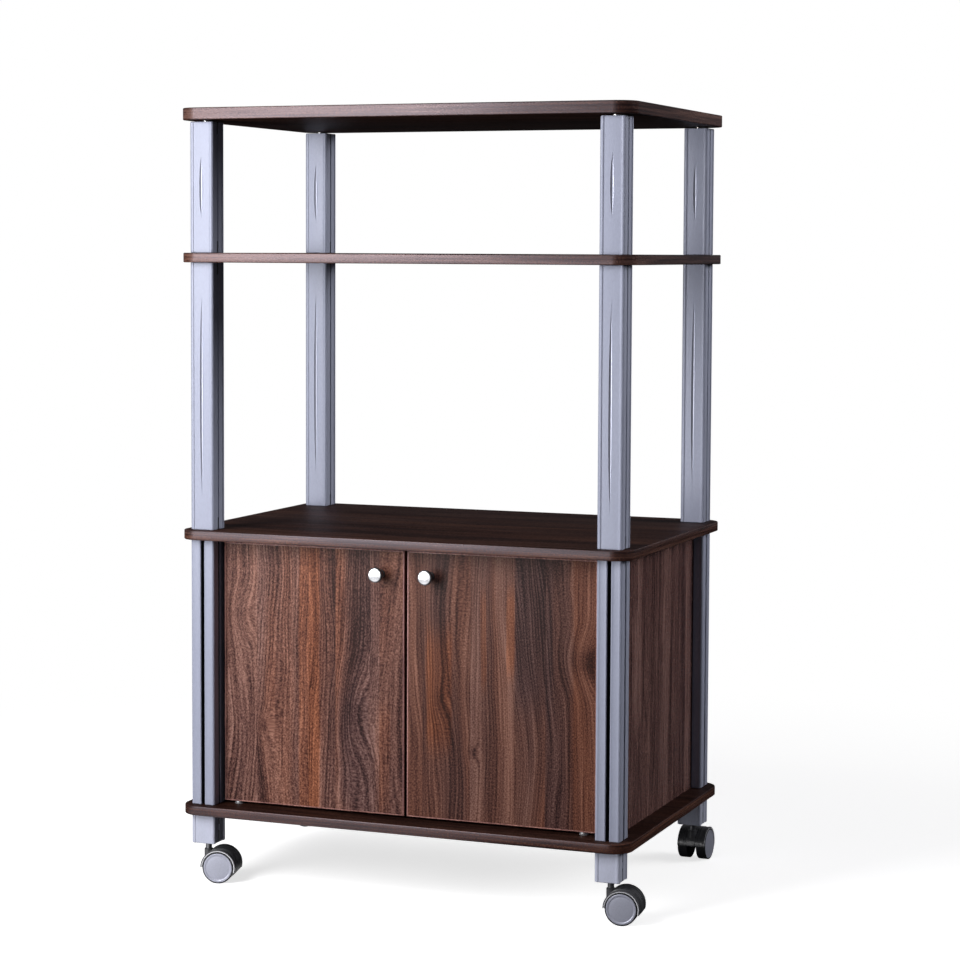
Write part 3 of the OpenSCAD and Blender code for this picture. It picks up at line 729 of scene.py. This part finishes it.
# silver discs between the upper posts and the top board
spacerShape = {"radius": 6 * mm, "ease": 0.35 * mm, "steps": 3, "smooth": 40}
low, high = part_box("top_spacers")
spacerTree, g, put = newTree("spacerDiscs", {
    "Radius": ("Float", 0.006), "Thickness": ("Float", 0.002), "Span X": ("Float", 0.54),
    "Span Y": ("Float", 0.337), "Level": ("Float", 0.96), "Material": ("Material", None)})
spots = g.node("GeometryNodeMeshGrid", {}, {
    "Size X": put["Span X"], "Size Y": put["Span Y"], "Vertices X": 2, "Vertices Y": 2})
spacer = g.node("GeometryNodeMeshCylinder", {"fill_type": "NGON"}, {
    "Vertices": 48, "Side Segments": 1, "Radius": put["Radius"], "Depth": put["Thickness"]})
spacers = g.node("GeometryNodeInstanceOnPoints", {}, {"Points": spots, "Instance": spacer})
spacers = g.node("GeometryNodeTransform", {},
                 {"Geometry": spacers, "Translation": g.point(0.0, 0.0, put["Level"])})
endTree(g, spacers, put["Material"])
mesh = grow("topSpacers", spacerTree, {
    "Radius": spacerShape["radius"], "Thickness": high.z - low.z,
    "Span X": high.x - low.x - 2 * spacerShape["radius"],
    "Span Y": high.y - low.y - 2 * spacerShape["radius"], "Level": (low.z + high.z) / 2,
    "Material": finishes["polishedSteel"]},
    {"width": spacerShape["ease"], "steps": spacerShape["steps"], "angle": spacerShape["smooth"]})
smoothPiece(mesh, spacerShape["smooth"])
addPiece("topSpacers", mesh, finishes["polishedSteel"], "root", ("top_spacers",))
print("spacers ready")


# doors
doorShape = {"frontArris": 2.0 * mm, "frontSteps": 5, "backArris": 0.8 * mm, "backSteps": 2,
             "smooth": 30, "flat": 0.9999, "round": 0.2}


def softenEdges(work, wanted, width, steps):  # bevels the edges whose ends are all wanted
    edges = [e for e in work.edges if all(wanted(v) for v in e.verts)]
    bmesh.ops.bevel(work, geom=edges, offset=width, segments=steps, profile=0.5, affect="EDGES",
                    clamp_overlap=True)


def doorMesh(name, low, high):
    work = bmesh.new()
    bmesh.ops.create_cube(work, size=1.0)
    for v in work.verts:
        v.co = Vector([low[i] + (v.co[i] + 0.5) * (high[i] - low[i]) for i in range(3)])
    softenEdges(work, lambda v: v.co.y < low.y + 1e-6, doorShape["frontArris"], doorShape["frontSteps"])
    softenEdges(work, lambda v: v.co.y > high.y - 1e-6, doorShape["backArris"], doorShape["backSteps"])
    return closedMesh(name, work, doorShape["smooth"])


for side in sides:
    low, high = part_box("door_" + side)
    piece = "door" + side.capitalize()
    mesh = doorMesh(piece, low, high)
    for finish in ("walnutDoor" + side.capitalize(), "walnutDoorEdge", "walnutDoorArris"):
        mesh.materials.append(walnuts[finish])
    for face in mesh.polygons:  # the flat faces, the round arrises with a painted highlight, and the edges
        facing = abs(face.normal.y)
        arris = 2 if facing > doorShape["round"] else 1
        face.material_index = 0 if facing > doorShape["flat"] else arris
    addPiece(piece, mesh, None, side + "_door", ("door_" + side,))
print("doors ready")


# knobs, in millimetres; a curve's points are (beyond the neck's or the head's radius, height)
knobShape = {"base": 5.2, "baseThick": 1.8, "neck": 3.7, "head": 9.5, "height": 21.0, "rim": 2.1,
             "dome": 0.7, "waist": 13.0,
             "neckCurve": ((0.0, 8.2), (0.3, 9.8), (1.1, 11.4), (2.4, 12.8)),
             "headCurve": ((-1.5, 14.0), (-0.5, 15.0)), "steps": 72, "smooth": 40}


def knobOutline():  # (radius, height), from the door outwards
    k = knobShape
    foot, neck, face, inner = k["baseThick"], k["neck"], k["height"] - k["dome"], k["head"] - k["rim"]
    points = [(0, 0), (k["base"] - 0.3, 0), (k["base"], 0.3), (k["base"], foot - 0.5)]
    points += arc(k["base"] - 0.6, foot - 0.6, 0.6, 0, 90, 4)
    points += [(neck + 1.2, foot + 0.1), (neck + 0.35, foot + 0.8), (neck, foot + 2.4)]
    points += [(neck + beyond, height) for beyond, height in k["neckCurve"]]
    points += [(k["head"] + beyond, height) for beyond, height in k["headCurve"]]
    points += arc(inner, face - k["rim"], k["rim"], -20, 84, 10)
    points += [(inner * t, face + k["dome"] * (1 - t * t)) for t in (0.9, 0.7, 0.5, 0.3, 0.15, 0)]
    return [(radius * mm, height * mm) for radius, height in points]


for side in sides:
    low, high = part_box("knob_" + side)
    middle = (low + high) / 2
    place = placeAt(Vector((middle.x, high.y, middle.z)), Vector((0, -1, 0)))
    work = bmesh.new()
    turned(work, knobOutline(), place, knobShape["steps"])
    name = "knob" + side.capitalize()
    mesh = closedMesh(name, work, knobShape["smooth"])
    mesh.materials.append(finishes["satinSilver"])
    mesh.materials.append(finishes["darkSteelAndRimReflection"])
    faceReach = (knobShape["head"] - knobShape["rim"]) * mm
    for face in mesh.polygons:  # a bright face in a rim painted dark, a painted dark reflection round the rounded rim
        reach = math.hypot(face.center.x - middle.x, face.center.z - middle.z)
        inFront = high.y - face.center.y > knobShape["waist"] * mm
        face.material_index = 0 if inFront and reach < faceReach else 1
    addPiece(name, mesh, None, side + "_door", ("knob_" + side,))
print("knobs ready")


# casters, in millimetres
hoodShape = {"outer": 22.8, "shell": 22.35, "inner": 21.2, "edge": 20.3, "half": 18.5, "lip": 1.5,
             "brim": 21.5, "ribs": (11.2, 8.2), "band": 5.2, "skirt": 16, "body": 5.5, "boss": 6.5,
             "neck": 5.5, "neckFrom": 30, "neckTo": 41, "neckEase": 0.4, "smooth": 30}
wheelShape = {"radius": 20.0, "near": 6.1, "far": 19.1, "edge": 0.8, "dish": 18.6, "bore": 2.5,
              "steps": 96, "smooth": 30}
capShape = {"radius": 18.6, "thick": 1.6, "ring": 15.6}
joints = {j["child"]: j for j in frame["joints"]}


def hoodOutline():  # (distance along the axle, radius), all round the shell's section
    h = hoodShape
    half, outer, shell, inLip = h["half"], h["outer"], h["shell"], h["half"] - h["lip"]
    outside = [(-half, h["edge"] + 0.3), (-half, h["brim"]), (-half, outer - 0.35),
               (-half + 0.35, outer), (-inLip, outer), (-inLip + 0.35, shell - 0.25),
               (-inLip + 0.9, shell - 0.25), (-inLip + 1.3, shell)]
    for rib in h["ribs"]:
        outside += [(-rib - 0.8, shell), (-rib - 0.5, outer - 0.05), (-rib + 0.5, outer - 0.05),
                    (-rib + 0.8, shell)]
    outside += [(-h["band"] - 0.4, shell), (-h["band"], outer - 0.05), (-h["band"] + 0.5, outer)]
    outside += [(-a, r) for a, r in reversed(outside)]
    inside = [(half - 0.2, h["edge"]), (inLip, h["edge"]), (inLip - 0.5, h["inner"])]
    return outside + inside + [(-a, r) for a, r in reversed(inside)]


def treadOutline():  # (radius, distance along the axle) of a wheel, from its bore and back to it
    w = wheelShape
    near, far, edge, rolled = w["near"], w["far"], w["edge"], w["radius"] - w["edge"]
    seat, dish = far - capShape["thick"], w["dish"] + 0.05
    outline = [(w["bore"], near), (rolled - 3, near), (rolled - 2.2, near + 0.3)]
    outline += arc(rolled, near + edge, edge, -90, 0, 5)
    outline += [(w["radius"], near + 4), (w["radius"], far - 4)]
    outline += arc(rolled, far - edge, edge, 0, 90, 5)
    outline += [(dish + 0.2, far), (dish, far - 0.3), (dish, seat)]
    outline += [(w["bore"], seat), (w["bore"], near)]
    return [(r * mm, a * mm) for r, a in outline]


def capOutline():  # the same for the disc on a wheel's outer face, which has a shallow ring
    rim, ring, far = capShape["radius"] - 0.1, capShape["ring"], wheelShape["far"]
    seat = far - capShape["thick"]
    outline = [(0, seat), (rim, seat), (rim, far - 0.5)] + arc(rim - 0.4, far - 0.4, 0.4, 0, 90, 4)
    outline += [(ring + 1.0, far), (ring + 0.5, far - 0.12), (ring, far - 0.4),
                (ring - 0.4, far - 0.45), (ring - 1.2, far - 0.35), (ring * 0.6, far - 0.12),
                (ring * 0.3, far - 0.03), (0, far)]
    return [(r * mm, a * mm) for r, a in outline]


def sweepRound(work, outline, place, start, stop, steps):  # turns a section part of the way, with ends
    rings = []
    for step in range(steps + 1):
        turn = math.radians(start + (stop - start) * step / steps)
        spots = [Vector((r * mm * math.cos(turn), a * mm, r * mm * math.sin(turn))) for a, r in outline]
        rings.append([work.verts.new(place @ spot) for spot in spots])
    count = len(outline)
    for a, b in zip(rings, rings[1:]):
        for i in range(count):
            j = (i + 1) % count
            work.faces.new((a[i], a[j], b[j], b[i]))
    work.faces.new(rings[0])
    work.faces.new(list(reversed(rings[-1])))


def slab(work, outline, place, half):  # a plate of a (across, up) outline, half thick to each side
    walls = [[work.verts.new(place @ Vector((u * mm, a * mm, v * mm))) for u, v in outline]
             for a in (-half, half)]
    count = len(outline)
    for i in range(count):
        j = (i + 1) % count
        work.faces.new((walls[0][i], walls[0][j], walls[1][j], walls[1][i]))
    work.faces.new(list(reversed(walls[0])))
    work.faces.new(walls[1])


for corner in corners:
    swivel = joints["caster_" + corner]
    roll = joints["wheel_" + corner + "_inner_body"]
    axle, stem = Vector(roll["pos_m"]), Vector(swivel["pos_m"])
    trail = Vector((axle.x - stem.x, axle.y - stem.y, 0)).normalized()
    upward = Vector((0, 0, 1))
    axis = upward.cross(trail)
    place = Matrix.Translation(axle) @ Matrix((trail, axis, upward)).transposed().to_4x4()
    h = hoodShape
    work = bmesh.new()
    sweepRound(work, hoodOutline(), place, -h["skirt"], 180, 72)
    web = arc(0, 0, h["inner"] + 0.4, 0, 180, 40) + arc(0, 0, h["boss"], 180, 360, 20)
    slab(work, web, place, h["body"])
    neck = ((0, h["neckFrom"]), (h["neck"], h["neckFrom"]), (h["neck"], h["neckTo"] - h["neckEase"]),
            (h["neck"] - h["neckEase"], h["neckTo"]), (0, h["neckTo"]))
    neckPlace = placeAt(Vector((stem.x, stem.y, 0)), upward)
    turned(work, [(radius * mm, level * mm) for radius, level in neck], neckPlace, 40)
    label = corner.title().replace("_", "")
    mesh = closedMesh("hood" + label, work, h["smooth"])
    mesh.materials.append(finishes["hoodGrey"])
    mesh.materials.append(finishes["lipHighlightGrey"])
    for face in mesh.polygons:  # painted highlight: the inner half of the lip at each open edge is made bright
        spot = face.center - axle
        away = abs(spot.dot(axis)) / mm
        reach = math.hypot(spot.dot(trail), spot.z) / mm
        if away > h["half"] - 0.15 and reach < h["brim"]:
            face.material_index = 1
    addPiece("hood" + label, mesh, None, "caster_" + corner,
             ("caster_housing_" + corner,))
    for which, way in (("inner", 1), ("outer", -1)):
        wheelPlace = placeAt(axle, axis * way, upward)
        body = "wheel_" + corner + "_" + which + "_body"
        for name, outline, finish, slotName, node in (
                ("wheel", treadOutline(), "treadGrey", "wheel_plastic", "wheel_"),
                ("wheelDisc", capOutline(), "discGrey", "wheel_disc", "wheel_cap_")):
            work = bmesh.new()
            turned(work, outline, wheelPlace, wheelShape["steps"])
            name += label + which.capitalize()
            mesh = closedMesh(name, work, wheelShape["smooth"])
            addPiece(name, mesh, finishes[finish], body, (node + corner + "_" + which,))
print("casters ready")


# carried-over parts get their finishes
carried = {"side_panel_left": walnuts["walnutSide"], "side_panel_right": walnuts["walnutSide"],
           "back_panel": walnuts["walnutSide"], "post_end_plugs": finishes["plugPlastic"],
           "leg_plugs": finishes["plugPlastic"], "connecting_studs": finishes["zincSteel"],
           "caster_stems": finishes["darkSteelAndRimReflection"], "pivot_bushes": finishes["bushGrey"],
           "door_catches": finishes["whiteNylon"]}
for side in sides:
    carried["knob_screw_" + side] = finishes["zincSteel"]
    carried["pivot_pins_" + side] = finishes["zincSteel"]
    carried["strike_plate_" + side] = finishes["zincSteel"]
for node, finish in carried.items():
    for material in nodes[node].material_slots:
        material.material = finish
print("carried-over parts dressed")


# floor, world, lamps
stageShape = {"size": 14.0, "near": 0.55, "far": 1.5, "pale": 0.86, "vary": 0.01, "speck": 30.0,
              "glow": 0.70, "bounce": 0.05}
glowLook = {"towards": (-0.53, -0.85), "from": 0.70, "to": 0.97}


# 1 for a ray from the camera or through glass, and off a gloss towards the white front left
def lightSeen(g, x, y):
    ray = g.node("ShaderNodeLightPath", out="Is Camera Ray")
    nx, ny = glowLook["towards"]
    facing = (x * nx + y * ny) / ((x * x + y * y + 1e-6) ** 0.5)
    glow = facing.rise(glowLook["from"], glowLook["to"])
    return (ray + ray.other("Is Transmission Ray") + ray.other("Is Glossy Ray") * glow).atMost(1.0)


def floorFinish():
    material, g, shader = newFinish("paleFloor", {
        "Roughness": 0.8, "Specular IOR Level": 0.0, "Emission Color": (1, 1, 1, 1),
        "Emission Strength": stageShape["glow"]})
    x, y, z = g.objectPlace()
    speck = g.noise(g.point(x * stageShape["speck"], y * stageShape["speck"], z), 1.0, 3.0)
    away = ((x * x + (y * y)) ** 0.5).rise(stageShape["near"], stageShape["far"])
    pale, vary = stageShape["pale"], stageShape["vary"]
    feed(g, shader, "Base Color", g.mix(speck, (pale - vary,) * 3, (pale + vary,) * 3))
    white = g.node("ShaderNodeEmission", {}, {"Color": (1, 1, 1, 1), "Strength": 1.0})
    fading = g.node("ShaderNodeMixShader", {}, {0: away, 1: Wire(g, shader.outputs[0]), 2: white})
    dim = g.node("ShaderNodeBsdfDiffuse", {}, {"Color": (stageShape["bounce"],) * 3 + (1,)})
    both = g.node("ShaderNodeMixShader", {}, {0: lightSeen(g, x, y), 1: dim, 2: fading})
    g.tree.links.new(both.socket, g.tree.nodes["Material Output"].inputs["Surface"])
    return material


half = stageShape["size"] / 2
floorMesh = bpy.data.meshes.new("floor")
floorMesh.from_pydata([(-half, -half, 0), (half, -half, 0), (half, half, 0), (-half, half, 0)], [],
                      [(0, 1, 2, 3)])
floor = bpy.data.objects.new("floor", floorMesh)
bpy.context.scene.collection.objects.link(floor)
floorMesh.materials.append(floorFinish())
floor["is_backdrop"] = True

worldLook = {"ambient": (0.10, 0.10, 0.11)}
world = bpy.data.worlds.new("studio")
bpy.context.scene.world = world
world.use_nodes = True
g = Graph(world.node_tree)
ambient = g.node("ShaderNodeBackground", {}, {"Color": (*worldLook["ambient"], 1), "Strength": 1.0})
white = g.node("ShaderNodeBackground", {}, {"Color": (1, 1, 1, 1), "Strength": 1.0})
skyX, skyY, skyZ = g.split(g.node("ShaderNodeTexCoord").other("Generated"))
whole = g.node("ShaderNodeMixShader", {}, {0: lightSeen(g, skyX, skyY), 1: ambient, 2: white})
for old in [n for n in world.node_tree.nodes if n.bl_idname == "ShaderNodeOutputWorld"]:
    world.node_tree.nodes.remove(old)
worldOut = world.node_tree.nodes.new("ShaderNodeOutputWorld")
g.tree.links.new(whole.socket, worldOut.inputs["Surface"])

lamps = {
    "frontLeftSoftbox": {
        "at": (-0.68, -1.40, 1.09), "to": (0.02, -0.15, 0.52), "wide": 0.70, "high": 1.00,
        "power": 25.0, "spread": 180, "glossy": True},
    "lowPanel": {
        "at": (-0.95, -1.90, 0.34), "to": (0.0, -0.2, 0.22), "wide": 1.60, "high": 0.50,
        "power": 14.0, "spread": 180, "glossy": True},
    "rightFill": {
        "at": (3.2, 1.4, 1.95), "to": (0.0, 0.0, 0.98), "wide": 3.2, "high": 1.6, "power": 17,
        "spread": 56, "glossy": False},
}
for name, lamp in lamps.items():
    light = bpy.data.lights.new(name, "AREA")
    light.shape, light.energy = "RECTANGLE", lamp["power"]
    light.size, light.size_y = lamp["wide"], lamp["high"]
    light.spread = math.radians(lamp["spread"])
    holder = bpy.data.objects.new(name, light)
    bpy.context.scene.collection.objects.link(holder)
    holder.location = lamp["at"]
    holder.visible_glossy = lamp["glossy"]
    aim = Vector(lamp["to"]) - Vector(lamp["at"])
    holder.rotation_euler = aim.to_track_quat("-Z", "Y").to_euler()
print("light ready")


# camera
lens = {"at": (1.2348, -3.0648, 0.8031), "yaw": 21.417, "pitch": -3.991, "roll": 0.258, "focal": 96.77,
        "sensor": 36.0, "shiftY": -50 / 960}
yaw, pitch, rollTurn = (math.radians(lens[k]) for k in ("yaw", "pitch", "roll"))
forward = Vector((-math.sin(yaw) * math.cos(pitch), math.cos(yaw) * math.cos(pitch), math.sin(pitch)))
level = Vector((math.cos(yaw), math.sin(yaw), 0))
upright = level.cross(forward)
right = level * math.cos(rollTurn) + upright * math.sin(rollTurn)
up = upright * math.cos(rollTurn) - level * math.sin(rollTurn)
camera = bpy.data.objects.new("camera", bpy.data.cameras.new("camera"))
bpy.context.scene.collection.objects.link(camera)
turn = Matrix((right, up, -forward)).transposed().to_4x4()
camera.matrix_world = Matrix.Translation(lens["at"]) @ turn
camera.data.sensor_width = lens["sensor"]
camera.data.lens, camera.data.shift_y = lens["focal"], lens["shiftY"]
camera.data.dof.use_dof = False
bpy.context.scene.camera = camera
bpy.context.scene.view_settings.view_transform = "Standard"
print("camera ready")

low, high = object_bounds()
